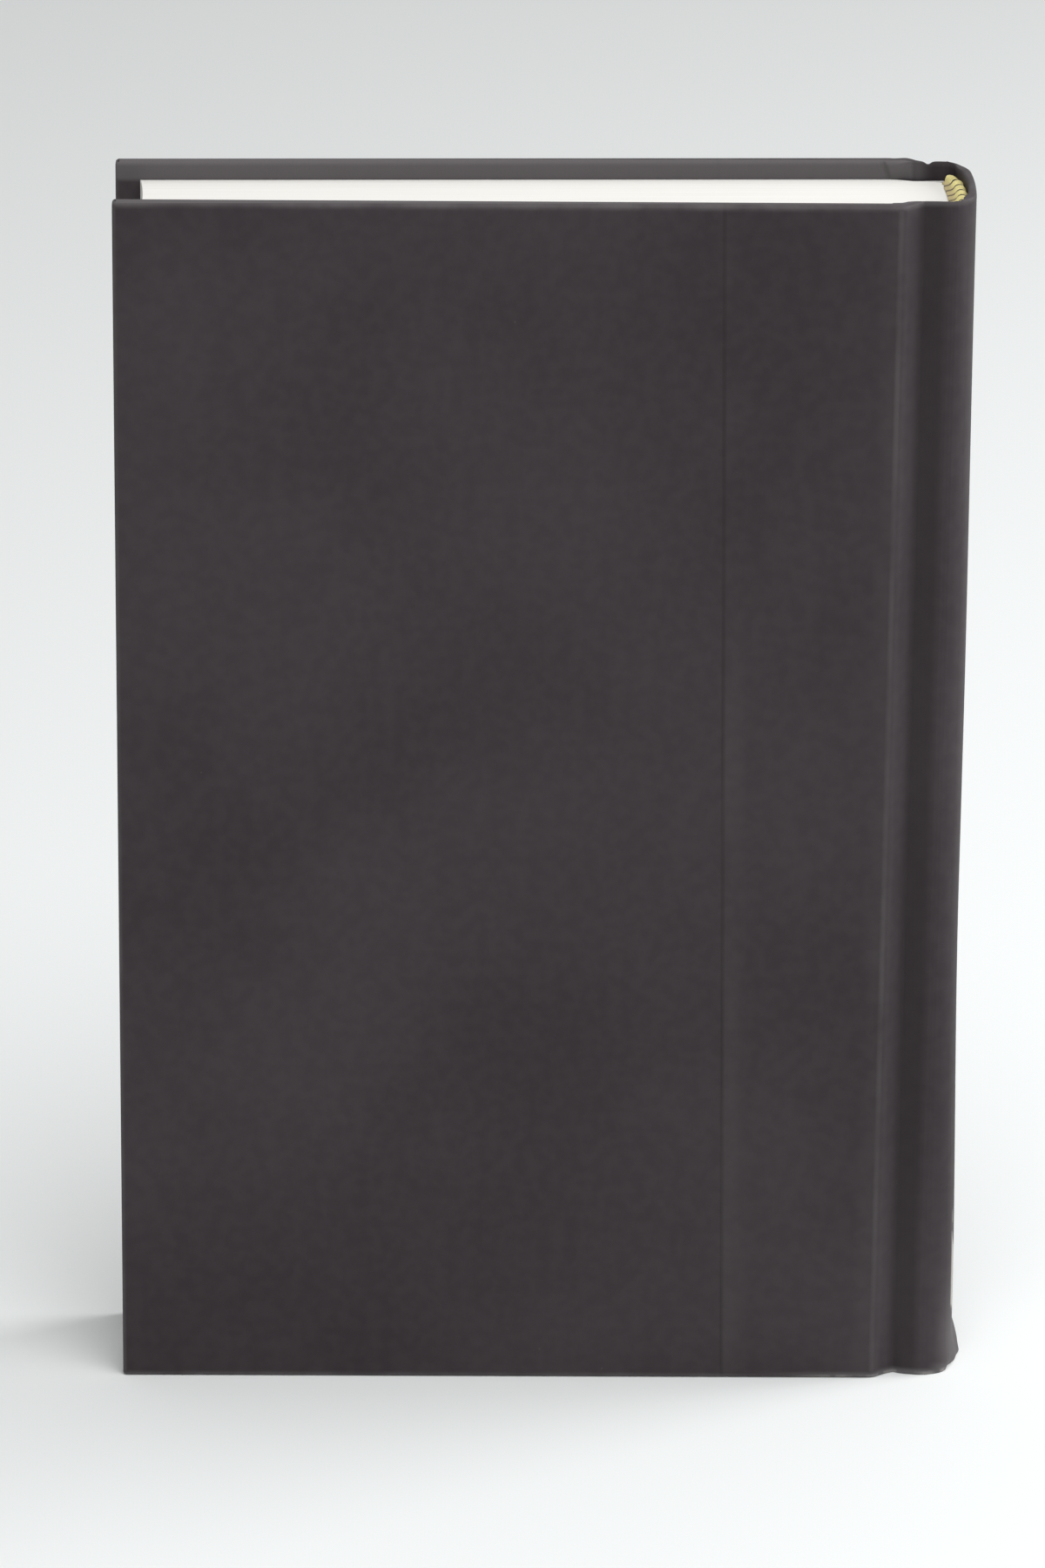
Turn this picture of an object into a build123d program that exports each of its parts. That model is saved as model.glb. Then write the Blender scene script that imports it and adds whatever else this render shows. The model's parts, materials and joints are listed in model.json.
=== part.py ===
"""Hardback book, closed and standing on its tail edge.

A flat-backed text block hangs by two paper joints in a case of two boards and a spine strip. One cover
paper is wrapped over the boards and the strip and turned in at the head, tail and fore-edges. It is cut
here along the two hinge lines, because the covers swing on them. The back is hollow, so there is air
between the glued spine of the text block and the strip of the case.

Frame: +X towards the spine, -Y out of the back cover, +Z towards the head. The origin is under the middle
of the closed book, on the surface that it stands on. All sizes are in millimetres. Profiles are drawn
with x measured from the fore-edge of the covers and moved to the frame when they are extruded.
"""

from build123d import *
from math import sqrt
import os

os.makedirs("parts", exist_ok=True)

# ---- Text block -------------------------------------------------------------------------------------
text_width = 141.9  # fore-edge to glued spine
text_height = 215.9  # tail to head
text_thickness_spine = 23.3  # pages, where the boards end beside the joint
text_thickness_fore = 20.4  # pages, at the fore-edge, which the sewing makes thinner
fore_edge_hollow = 0.5  # how far the fore-edge curves in at its middle
spine_swell = 0.35  # how far the glued spine bulges at its middle
shoulder_radius = 3.5  # rounding from the side of the text block to its spine
joint_nip = 1.0  # how far the joint is pressed in on each side
shoulder_rise = 0.25  # how far the shoulder stands out again beside the nip

# ---- Papers and boards ------------------------------------------------------------------------------
board_thickness = 2.5
cover_paper = 0.2
endpaper = 0.15
mull_thickness = 0.18
lining_paper = 0.2
lining_bend = 1.0  # how far the edges of the spine lining bend round the shoulders
inlay_thickness = 0.8
turn_in = 15.0  # how far the cover paper is turned in over the boards
mull_reach = 18.0  # how far the gauze lies on each board

# ---- Fits -------------------------------------------------------------------------------------------
square = 3.2  # how far the boards stand out past the head and the tail of the pages
fore_square = 4.5  # the same at the fore-edge
cover_clearance = 0.15  # air between each cover and the text block
hinge_inset = 1.2  # from the glued spine back to the hinge line
hinge_gap = 0.2  # cut between the joint strip of a cover and the paper of the spine
hinge_stand_off = 0.1  # the hinge line lies this far outside the joint strip
joint_width = 8.9  # from the hinge line to the spine edge of the board
joint_slope = 3.4  # width of the step from the board down into the joint
joint_floor = 1.6  # width of the flat bottom of the joint
heel_paper = 0.3  # how much wider the step is on the outside than on the inside
hollow_back = 2.7  # from the glued spine to the inside of the case's spine
inlay_gap = 0.1  # beside the edges of the inlay, inside its wrapping
paste_gap = 0.2  # clearance round the gauze and the endpaper's step, inside the cover

# ---- Rounded edges ----------------------------------------------------------------------------------
board_edge_radius = 0.5
cover_edge_radius = 0.7
crest_radius = 1.6  # cover paper over the spine edge of the board
joint_radius = 1.6  # where the side of the pages and the papers bends into and out of the joint
shoulder_bend = 6.4  # the same where the joint rises again to the shoulder
case_corner_radius = 6.0  # corners of the case's spine
case_back_radius = 60.0
inlay_bend = 1.7  # how far the edges of the inlay bend round towards the joints
spine_round = 0.5  # how far the case's spine bulges at its middle

# ---- Endbands ---------------------------------------------------------------------------------------
band_cord_radius = 0.65
band_tape = 0.25
band_height = 11.6
band_end_inset = 0.8  # from the glued spine back to the ends of the band, round each shoulder
band_rise = 0.35  # centre of the cord above the edge of the pages

# ---- Derived places ---------------------------------------------------------------------------------
board_height = text_height + 2 * square
text_spine_x = fore_square + text_width
hinge_x = text_spine_x - hinge_inset
strip_end_x = hinge_x - hinge_gap / 2
board_spine_x = hinge_x - joint_width
board_fore_x = cover_paper
step_start_x = board_spine_x + cover_paper / 2
step_end_x = step_start_x + joint_slope
floor_end_x = step_end_x + joint_floor

lining_depth = max(cover_paper, mull_thickness)  # the gauze and the turn-ins lie side by side
level_under = endpaper + lining_depth  # levels count outwards from the inside of the pastedown
level_board = level_under + board_thickness
level_outside = level_board + cover_paper
level_strip = level_under + cover_paper

case_wall = cover_paper + inlay_thickness + cover_paper
case_spine_x = text_spine_x + hollow_back + case_wall
middle_x = case_spine_x / 2
tall = board_height


def pages_half(x):
    """Half the thickness of the pages at x, before the joint presses them in."""
    share = (x - fore_square) / (step_start_x - fore_square)
    return (text_thickness_fore + (text_thickness_spine - text_thickness_fore) * share) / 2


nip_half = text_thickness_spine / 2 - joint_nip
shoulder_half = nip_half + shoulder_rise
shoulder_slope = shoulder_rise / (text_spine_x - spine_swell - floor_end_x)
strip_end_half = nip_half + shoulder_slope * (strip_end_x - floor_end_x)
leaf_stack = endpaper + cover_clearance  # flyleaf and air, from the pages to the pastedown
strip_outside_half = strip_end_half + leaf_stack + level_strip
hinge_y = -(strip_outside_half + hinge_stand_off)

case_corner_x = case_spine_x - spine_round
corner_reach = max(hinge_x - (case_corner_x - case_corner_radius), 0)  # of the rounding, at the hinge line
corner_sag = case_corner_radius - sqrt(case_corner_radius**2 - corner_reach**2)
case_side_half = strip_outside_half + corner_sag


# ---- Profile helpers --------------------------------------------------------------------------------
def out_to(path_points, radii):
    """Face between the middle plane of the book and a filleted path on the back cover's side."""
    path = FilletPolyline(*path_points, radius=radii)
    first, last = path_points[0], path_points[-1]
    closing = Polyline(last, (last[0], 0), (first[0], 0), first)
    return make_face([*path.edges(), *closing.edges()])


def side_points(offset, start_x, end_x):
    """Points of the side of the book, pages and joint, moved outwards by offset."""
    end_half = nip_half + shoulder_slope * (end_x - floor_end_x)
    return [
        (start_x, -(pages_half(start_x) + offset)),
        (step_start_x, -(pages_half(step_start_x) + offset)),
        (step_end_x, -(nip_half + offset)),
        (floor_end_x, -(nip_half + offset)),
        (end_x, -(end_half + offset)),
    ]


def side_radii():
    return [joint_radius, joint_radius, shoulder_bend]


def inside_of(level):
    """Face from the middle plane to a level of the cover, where 0 is the inside of the pastedown."""
    return out_to(side_points(leaf_stack + level, 0, strip_end_x), side_radii())


def slab(face, low, high):
    """A profile extruded from z = low to z = high and moved to the frame."""
    return Pos(-middle_x, 0, low) * extrude(face, amount=high - low, dir=(0, 0, 1))


def between(low_x, high_x, low_z, high_z):
    """A block on the back cover's side that keeps what lies between two x and two z."""
    deep = text_thickness_spine + 4 * level_outside
    block = Box(high_x - low_x, deep, high_z - low_z, align=(Align.MIN, Align.MAX, Align.MIN))
    return Pos(low_x - middle_x, 0, low_z) * block


def layer(level_a, level_b, low_x, high_x, low_z, high_z):
    """A sheet between two levels of the cover."""
    sheet = slab(inside_of(level_b) - inside_of(level_a), low_z, high_z)
    return sheet & between(low_x, high_x, low_z, high_z)


# ---- Text block -------------------------------------------------------------------------------------
def text_profile(extra=0.0):
    """Whole cross-section of the pages, grown by extra on the sides and the spine."""
    shoulder = (text_spine_x - spine_swell, -shoulder_half)
    fore = fore_square
    near = FilletPolyline(
        (fore, -pages_half(fore)),
        (step_start_x, -pages_half(step_start_x)),
        (step_end_x, -nip_half),
        (floor_end_x, -nip_half),
        shoulder,
        (text_spine_x, 0),
        (shoulder[0], shoulder_half),
        (floor_end_x, nip_half),
        (step_end_x, nip_half),
        (step_start_x, pages_half(step_start_x)),
        (fore, pages_half(fore)),
        radius=[
            joint_radius,
            joint_radius,
            shoulder_bend,
            shoulder_radius,
            case_back_radius,
            shoulder_radius,
            shoulder_bend,
            joint_radius,
            joint_radius,
        ],
    )
    fore_edge = ThreePointArc(
        (fore, pages_half(fore)), (fore + fore_edge_hollow, 0), (fore, -pages_half(fore))
    )
    face = make_face([*near.edges(), fore_edge])
    return offset(face, extra, kind=Kind.ARC) if extra else face


def make_text_block():
    return slab(text_profile(), square, tall - square)


def make_back_flyleaf():
    """The free half of the endpaper, from the fore-edge to where the shoulder starts to turn."""
    fold_x = text_spine_x - spine_swell - shoulder_radius - endpaper
    face = out_to(side_points(endpaper, fore_square, fold_x), side_radii())
    face -= out_to(side_points(0, fore_square, fold_x), side_radii())
    return slab(face, square, tall - square)


def spine_wrap(inner, outer, start_x, low, high):
    """A sheet that lies on the glued spine between two distances from it."""
    inside = text_profile(inner) if inner else text_profile()
    face = text_profile(outer) - inside
    keep = Pos(start_x, 0) * Rectangle(
        2 * shoulder_radius + outer + 1, 2 * text_thickness_spine, align=(Align.MIN, Align.CENTER)
    )
    return slab(face & keep, low, high)


band_start_x = text_spine_x - band_end_inset
mull_low = turn_in + cover_paper + paste_gap
wrap_start_x = hinge_x + hinge_gap / 2


def make_mull():
    return spine_wrap(0, mull_thickness, wrap_start_x, mull_low, tall - mull_low)


def make_spine_lining():
    start_x = text_spine_x - spine_swell - lining_bend
    outer = mull_thickness + lining_paper
    return spine_wrap(mull_thickness, outer, start_x, mull_low, tall - mull_low)


def cord_path():
    """Line of the endband's cord, round the spine of the pages and one cord radius off it."""
    out = band_cord_radius
    side = shoulder_half + out
    run = shoulder_radius + 3 * out
    start = (text_spine_x - run, side - shoulder_slope * run)
    corner = (text_spine_x - spine_swell + out, side)
    return FilletPolyline(
        (start[0], -start[1]),
        (corner[0], -corner[1]),
        (text_spine_x + out, 0),
        corner,
        start,
        radius=[shoulder_radius + out, case_back_radius, shoulder_radius + out],
    )


def make_endband(head):
    """Woven tape glued to the spine, with a cord along its edge that covers the edge of the pages."""
    edge_z = tall - square if head else square
    inwards = -1 if head else 1
    low, high = sorted((edge_z, edge_z + inwards * band_height))
    tape = spine_wrap(0, band_tape, band_start_x, low, high)
    line = cord_path()
    section = Plane(origin=line @ 0, z_dir=line % 0) * Circle(band_cord_radius)
    cord = sweep(section, path=line)
    cord = Pos(-middle_x, 0, edge_z - inwards * band_rise) * cord
    keep = Box(
        4 * shoulder_radius,
        2 * text_thickness_spine,
        4 * band_height,
        align=(Align.MIN, Align.CENTER, Align.CENTER),
    )
    return tape + (cord & Pos(band_start_x - middle_x, 0, edge_z) * keep)


# ---- Cover, made on the back cover's side -------------------------------------------------------------
def outside_profile():
    """Face from the middle plane to the outside of the covered board and its joint strip."""
    crest_x = board_spine_x + cover_paper
    crest = (crest_x, cover_y(step_start_x, level_outside))
    start = (0, cover_y(0, level_outside))
    strip = side_points(leaf_stack + level_strip, 0, strip_end_x)
    foot = (step_end_x + heel_paper, strip[2][1])
    return out_to(
        [start, crest, foot, strip[3], strip[4]],
        [crest_radius, crest_radius, shoulder_bend],
    )


def cover_y(x, level):
    """y at a level of the board's part of the back cover, where 0 is the inside of the pastedown."""
    return -(pages_half(x) + leaf_stack + level)


def board_profile(low_x, high_x, level_a, level_b):
    """Slanting section of the board or of its wrapping, between two levels."""
    corners = [(low_x, level_a), (high_x, level_a), (high_x, level_b), (low_x, level_b)]
    points = [(x, cover_y(x, level)) for x, level in corners]
    return make_face(Polyline(*points, close=True).edges())


def make_back_board():
    face = board_profile(board_fore_x, board_spine_x, level_under, level_board)
    board = slab(face, cover_paper, tall - cover_paper)
    return fillet(board.edges(), board_edge_radius)


def heel_hollow():
    """Space behind the spine edge of the board, under the paper that slants down into the joint."""
    start_x = board_spine_x - board_edge_radius
    roof = make_face(
        Polyline(
            (start_x, cover_y(start_x, level_board)),
            (board_spine_x, cover_y(board_spine_x, level_board)),
            (step_end_x, -(nip_half + leaf_stack + level_under)),
            (step_end_x, 0),
            (start_x, 0),
            close=True,
        ).edges()
    )
    return slab(roof - inside_of(level_under), cover_paper, tall - cover_paper)


def make_back_cover_paper():
    """Paper over the outside, the edges and the turn-ins of the board, and the joint strip."""
    wrapped = slab(board_profile(0, board_spine_x, endpaper, level_outside), 0, tall)
    far_x = board_spine_x - middle_x
    spine_edges = wrapped.edges().filter_by_position(Axis.X, far_x, far_x)
    wrapped = fillet(wrapped.edges() - spine_edges, cover_edge_radius)
    strip = slab(outside_profile() - inside_of(endpaper), 0, tall)
    strip &= between(board_spine_x - crest_radius, strip_end_x + 1, 0, tall)
    low = turn_in + cover_paper
    window = layer(endpaper, level_under, turn_in, strip_end_x, low, tall - low)
    return wrapped + strip - make_back_board() - heel_hollow() - window


def make_back_pastedown():
    """Endpaper leaf on the board. It sinks onto the board inside the turn-ins and the gauze."""
    low_z, high_z = square, tall - square
    low_x = turn_in + paste_gap
    high_x = board_spine_x - mull_reach - paste_gap
    sunk_low, sunk_high = mull_low, tall - mull_low
    flat = layer(0, endpaper, fore_square - cover_clearance, strip_end_x, low_z, high_z)
    plug = layer(0, level_under, low_x, high_x, sunk_low, sunk_high)
    dish = layer(
        0,
        level_under - endpaper,
        low_x + endpaper,
        high_x - endpaper,
        sunk_low + endpaper,
        sunk_high - endpaper,
    )
    return flat + plug - dish


def make_back_mull_flap():
    """Half of the gauze that lies under the pastedown, from the hinge line onto the board."""
    return layer(
        endpaper,
        endpaper + mull_thickness,
        board_spine_x - mull_reach,
        strip_end_x,
        mull_low,
        tall - mull_low,
    )


# ---- Spine of the case ------------------------------------------------------------------------------
def case_profile(depth):
    """Section of the case's spine, depth inside its outer surface, open towards the pages."""
    path = FilletPolyline(
        (board_spine_x, -case_side_half),
        (case_corner_x, -case_side_half),
        (case_spine_x, 0),
        (case_corner_x, case_side_half),
        (board_spine_x, case_side_half),
        radius=[case_corner_radius, case_back_radius, case_corner_radius],
    )
    whole = make_face([*path.edges(), Line(path @ 1, path @ 0)])
    return offset(whole, -depth, kind=Kind.ARC) if depth else whole


def case_layer(depth_a, depth_b, start_x, end_x, low, high):
    """A curved sheet of the case's spine between two depths, kept between two x."""
    keep = Pos(start_x, 0) * Rectangle(
        end_x - start_x, 4 * case_side_half, align=(Align.MIN, Align.CENTER)
    )
    return slab((case_profile(depth_a) - case_profile(depth_b)) & keep, low, high)


inlay_start_x = case_spine_x - spine_round - inlay_bend
inlay_depth = cover_paper + inlay_thickness
past_x = case_spine_x + 1


def make_spine_paper():
    """Cover paper over the strip of the case, turned in over its head and tail."""
    start_x = hinge_x + hinge_gap / 2
    riser_x = inlay_start_x - inlay_gap - cover_paper
    sheet = case_layer(0, cover_paper, start_x, past_x, 0, tall)
    for low, cap_low in ((0, 0), (tall - turn_in, tall - cover_paper)):
        high, cap_high = low + turn_in, cap_low + cover_paper
        sheet += case_layer(0, 2 * cover_paper, start_x, riser_x, low, high)
        sheet += case_layer(0, case_wall, riser_x, riser_x + cover_paper, low, high)
        sheet += case_layer(inlay_depth, case_wall, riser_x, past_x, low, high)
        sheet += case_layer(0, case_wall, riser_x, past_x, cap_low, cap_high)
    return sheet


def make_spine_inlay():
    return case_layer(
        cover_paper, inlay_depth, inlay_start_x, past_x, cover_paper, tall - cover_paper
    )


# ---- Nodes ------------------------------------------------------------------------------------------
nodes = {
    "text_block": make_text_block(),
    "mull": make_mull(),
    "spine_lining": make_spine_lining(),
    "headband": make_endband(head=True),
    "tailband": make_endband(head=False),
    "spine_inlay": make_spine_inlay(),
    "spine_cover_paper": make_spine_paper(),
}
back_pieces = {
    "board": make_back_board(),
    "cover_paper": make_back_cover_paper(),
    "pastedown": make_back_pastedown(),
    "mull_flap": make_back_mull_flap(),
    "flyleaf": make_back_flyleaf(),
}
for piece, shape in back_pieces.items():
    nodes[f"back_{piece}"] = shape
    nodes[f"front_{piece}"] = mirror(shape, about=Plane.XZ)

for name, shape in nodes.items():
    export_step(shape, f"parts/{name}.step")

print("hinge lines at x", round(hinge_x - middle_x, 3), "and y", round(hinge_y, 3), round(-hinge_y, 3))
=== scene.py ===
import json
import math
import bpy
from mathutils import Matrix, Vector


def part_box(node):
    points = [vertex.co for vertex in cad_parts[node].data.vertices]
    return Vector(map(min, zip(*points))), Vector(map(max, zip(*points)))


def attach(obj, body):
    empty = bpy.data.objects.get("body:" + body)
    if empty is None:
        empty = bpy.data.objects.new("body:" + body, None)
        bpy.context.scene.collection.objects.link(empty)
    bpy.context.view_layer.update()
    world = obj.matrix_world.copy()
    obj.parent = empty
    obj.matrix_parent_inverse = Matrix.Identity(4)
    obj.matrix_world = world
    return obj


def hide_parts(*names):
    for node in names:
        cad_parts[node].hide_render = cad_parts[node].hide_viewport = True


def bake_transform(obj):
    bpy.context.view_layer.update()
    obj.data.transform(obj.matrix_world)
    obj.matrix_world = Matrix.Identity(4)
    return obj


bl_info = {
    "name": "Hardback Book",
    "version": (1, 0, 0),
    "blender": (4, 5, 0),
    "location": "View3D > Sidebar > Book",
    "description": "Cover papers, endbands, endpaper folds, finishes and stage of a closed hardback book",
    "category": "Add Mesh",
}

import bmesh
import bpy
from bpy.props import FloatProperty, FloatVectorProperty, IntProperty, PointerProperty
from mathutils import Matrix, Vector, noise

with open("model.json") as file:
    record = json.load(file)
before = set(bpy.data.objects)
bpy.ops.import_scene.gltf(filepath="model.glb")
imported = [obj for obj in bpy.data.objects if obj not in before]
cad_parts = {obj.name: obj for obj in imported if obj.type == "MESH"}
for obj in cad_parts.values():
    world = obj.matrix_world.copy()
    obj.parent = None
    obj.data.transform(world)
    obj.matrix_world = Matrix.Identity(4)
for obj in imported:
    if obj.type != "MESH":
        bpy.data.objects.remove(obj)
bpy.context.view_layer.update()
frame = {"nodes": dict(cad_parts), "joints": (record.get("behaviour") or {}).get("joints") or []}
MM = 0.001
PAGES_LOW, PAGES_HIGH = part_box("text_block")
SPINE_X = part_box("spine_cover_paper")[1].x
COVER_LOW, COVER_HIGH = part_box("back_cover_paper")
HINGE = Vector(frame["joints"][0]["pos_m"])
SIDES = {"back": 1, "front": -1}  # 1 is the side towards -Y
CREASE_LEAN = 0.0145  # how far the rub and the crease in the panels lean, for each metre of height
FOLD_X = 59.3 * MM  # where the fold in the turned-in paper meets the head
FOLD_LEAN = 0.4  # how far that fold leans, for each metre of height
FRONT_FADE = 0.6  # share of the marks that is left on the front cover's side
SHOULDER_TURN = math.radians(38)  # how far round the shoulders an endband reaches


# ---- Sizes and colours that a user would change -------------------------------------------------------
def length(name, description, default, **limits):
    return FloatProperty(
        name=name, description=description, default=default, subtype="DISTANCE", unit="LENGTH", **limits
    )


def colour(name, description, default):
    return FloatVectorProperty(
        name=name, description=description, default=default, subtype="COLOR", size=3, min=0, max=1
    )


def power(name, description, default):
    return FloatProperty(name=name, description=description, default=default, min=0, unit="POWER")


def angle(name, description, default):
    return FloatProperty(name=name, description=description, default=default, subtype="ANGLE")


class BookCaseSizes(bpy.types.PropertyGroup):
    paper: length("Paper", "Thickness of the cover paper", 0.12 * MM)
    turn_in: length("Turn-in", "How far the paper is turned in over the boards", 15.2 * MM)
    board_edge: length("Board Edge", "Rounding of the covered edges of the boards", 0.62 * MM)
    joint_edge: length("Joint Edge", "Rounding of the folded paper's edge in the joints", 0.12 * MM)
    spine_edge: length("Spine Edge", "Rounding of the covered edges of the spine", 0.45 * MM)
    crest_x: length("Board's Spine Edge", "Where the board ends beside the joint", 61.35 * MM)
    foot_x: length("Joint Start", "Where the bottom of the joint begins", 64.95 * MM)
    floor_x: length("Joint End", "Where the bottom of the joint ends", 66.25 * MM)
    joint_half: length("Joint Depth", "From the middle plane to the bottom of the joint", 11.5 * MM)
    joint_wall: length("Joint Wall", "Thickness of the folded paper in the joint", 0.4 * MM)
    side_half: length("Spine Side", "From the middle plane to the side of the spine", 11.94 * MM)
    corner_reach: length("Spine Corner", "How far the rounding of the spine's corner reaches", 5.8 * MM)
    spine_wall: length("Spine Wall", "Thickness of the covered spine strip", 1.2 * MM)
    head_swell: length("Head Swell", "How far the front joint bulges at the head", 1.1 * MM)
    tail_swell: length("Tail Swell", "How far the spine is spread towards the tail", 1.1 * MM)
    tail_flare: length("Tail Flare", "How far the bumped tail edge of the spine stands out", 1.3 * MM)
    tail_crush: length("Tail Crush", "How far the back joint is pushed out at the tail", 2.2 * MM)
    fold_step: length("Fold Step", "Height of the folded turn-in beside the board", 0.35 * MM)


class BookBandSizes(bpy.types.PropertyGroup):
    shoulder: length("Shoulder", "Rounding of the shoulders of the glued pages", 3.5 * MM)
    shoulder_half: length("Shoulder Half", "From the middle plane to the side of the shoulders", 10.9 * MM)
    swell: length("Swell", "How far the glued spine bulges at its middle", 0.35 * MM)
    core: length("Core", "Radius of the cord inside the band", 0.65 * MM)
    stand_off: length("Stand Off", "Centre of the cord outside the glued spine", 1.05 * MM)
    bulge: length("Bulge", "How far a light stripe stands out at its middle", 0.26 * MM)
    rise: length("Rise", "Centre of the cord above the edge of the pages", 0.45 * MM)
    thread: length("Thread", "Radius of one thread", 0.19 * MM)
    pitch: length("Pitch", "From one thread to the next", 0.42 * MM)
    light_threads: IntProperty(name="Light Threads", description="Threads in a light stripe", default=5)
    dark_threads: IntProperty(name="Dark Threads", description="Threads in a dark stripe", default=2)
    tape: length("Tape", "Thickness of the tape on the glued spine", 0.25 * MM)
    tape_height: length("Tape Height", "How far the tape reaches along the spine", 11.6 * MM)


class BookColours(bpy.types.PropertyGroup):
    cover: colour("Cover", "Cover paper", (0.0450, 0.0365, 0.0410))
    # Also used at half strength as the colour of the painted shade in the joint and beside the turn-in's
    # fold.
    cover_dark_and_shade: colour("Cover Dark", "Darker clouds in the cover paper", (0.0330, 0.0255, 0.0295))
    cover_worn: colour("Cover Worn", "Rubbed edges of the cover paper", (0.165, 0.155, 0.160))
    cover_core: colour("Cover Core", "Pale core of the cover paper where it is scraped", (0.50, 0.48, 0.45))
    pages: colour("Pages", "Edges of the pages", (0.85, 0.84, 0.81))
    pages_dark: colour("Pages Dark", "Gaps between the pages", (0.69, 0.67, 0.62))
    # Tan tint beside the spine, on the pages and on the threads that lie on them: partly glue, partly painted
    # shade and a painted warm reflection of the headband.
    glue_and_shade: colour("Glue And Shade", "Tint of the glue beside the spine", (0.42, 0.33, 0.18))
    endpaper: colour("Endpaper", "Endpapers", (0.85, 0.845, 0.82))
    light_thread: colour("Light Thread", "Light stripes of the endbands", (0.90, 0.80, 0.34))
    dark_thread: colour("Dark Thread", "Dark stripes of the endbands", (0.030, 0.027, 0.024))
    board: colour("Board", "Grey board", (0.33, 0.30, 0.26))
    gauze: colour("Gauze", "Gauze on the spine", (0.72, 0.69, 0.60))
    lining: colour("Lining", "Kraft lining on the spine", (0.42, 0.30, 0.18))


class BookStage(bpy.types.PropertyGroup):
    floor: colour("Floor", "Floor and backdrop", (0.88, 0.90, 0.90))
    sky: FloatProperty(name="Sky", description="Strength of the even light", default=0.4, min=0)
    top: power("Top Light", "Power of the overhead light", 9.5)
    right: power("Right Light", "Power of the side light", 12)
    front: power("Front Light", "Power of the front light", 0.6)
    lens: FloatProperty(name="Lens", description="Focal length in millimetres", default=188.3, min=1)
    camera_place: FloatVectorProperty(
        name="Camera Place",
        description="Where the camera stands",
        default=(-0.03505, -1.36592, 0.63841),
        subtype="TRANSLATION",
        unit="LENGTH",
    )
    camera_turn: angle("Camera Turn", "Turn about the vertical", -0.0233)
    camera_tilt: angle("Camera Tilt", "Tilt below the horizon", 0.369)
    camera_roll: angle("Camera Roll", "Roll about the line of sight", 0.0092)


# ---- Small helpers ------------------------------------------------------------------------------------
def ramp(low, high, value):
    """0 below low, 1 above high, and a smooth step between them."""
    share = min(max((value - low) / (high - low), 0), 1)
    return share * share * (3 - 2 * share)


def hill(value, centre, width):
    """1 at the centre, fading smoothly to nothing about two widths away."""
    return math.exp(-(((value - centre) / width) ** 2))


def new_object(name, mesh):
    piece = bpy.data.objects.new(name, mesh)
    bpy.context.scene.collection.objects.link(piece)
    return piece


def mesh_from(bm, name):
    mesh = bpy.data.meshes.new(name)
    bm.to_mesh(mesh)
    bm.free()
    return mesh


def apply_modifiers(piece):
    """Replaces the piece's mesh by its finished shape and removes its modifiers."""
    graph = bpy.context.evaluated_depsgraph_get()
    finished = bpy.data.meshes.new_from_object(piece.evaluated_get(graph))
    finished.name = piece.name
    piece.modifiers.clear()
    piece.data = finished


def thicken(piece, thickness):
    """Gives a surface its thickness on the inner side."""
    wall = piece.modifiers.new("Thickness", "SOLIDIFY")
    wall.thickness = thickness
    wall.offset = -1
    apply_modifiers(piece)


def shade(piece, sharp_angle):
    mesh = piece.data
    mesh.shade_smooth()
    mesh.set_sharp_from_angle(angle=math.radians(sharp_angle))


def cut_loops(bm, axis, places, keep=None):
    """Adds edge loops across an axis at the given places, on the faces that keep accepts."""
    normal = Vector([float(index == axis) for index in range(3)])
    for place in places:
        faces = [face for face in bm.faces if keep is None or keep(face)]
        edges = {edge for face in faces for edge in face.edges}
        verts = {vert for face in faces for vert in face.verts}
        bmesh.ops.bisect_plane(
            bm, geom=[*verts, *edges, *faces], plane_co=normal * place, plane_no=normal, dist=1e-7
        )


def steps(low, high, size):
    """Even places from low to high, about one size apart, without the ends."""
    count = max(round((high - low) / size), 1)
    return [low + (high - low) * index / count for index in range(1, count)]


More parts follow.
